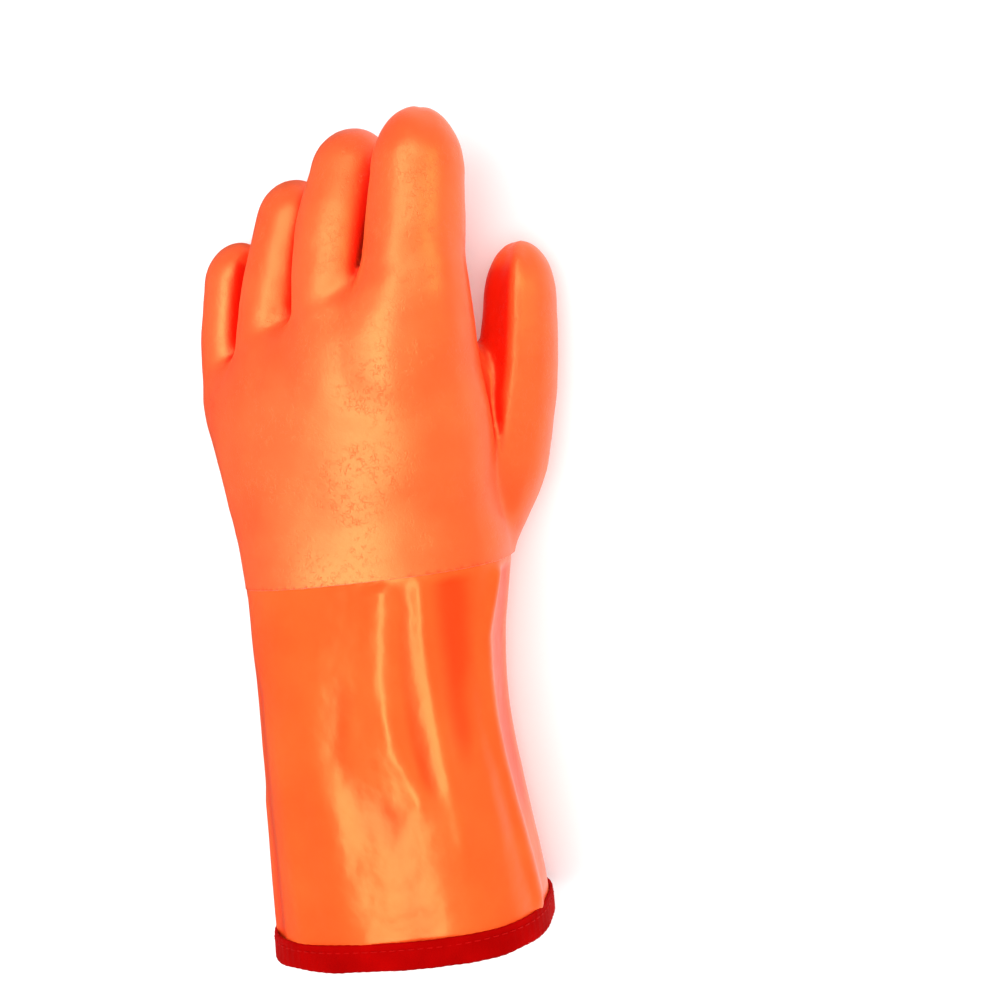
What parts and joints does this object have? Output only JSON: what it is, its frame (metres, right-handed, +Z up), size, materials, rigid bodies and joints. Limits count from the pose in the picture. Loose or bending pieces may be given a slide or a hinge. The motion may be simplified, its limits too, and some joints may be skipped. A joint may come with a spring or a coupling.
{
  "type": "pvc coated work glove",
  "caption": "Padded gauntlet work glove with a smooth matt coated hand, a glossy coated sleeve and a tape-bound rim, lying palm down on a surface.",
  "frame": {"origin": "on the surface, at the middle of the glove's footprint", "axes": "+Y from the sleeve's rim to the fingertips, +X to the thumb side, +Z up out of the surface; the palm faces down"},
  "size_m": [0.1424, 0.3002, 0.0774],
  "materials": {
    "hand_coat": "matt orange PVC coat with a fine grain",
    "gauntlet_coat": "glossy orange PVC coat over soft folds",
    "binding_tape": "red woven tape, sewn round the rim"
  },
  "bodies": {
    "root": {"hand": "hand_coat", "gauntlet": "gauntlet_coat", "edge_binding": "binding_tape"}
  },
  "joints": []
}
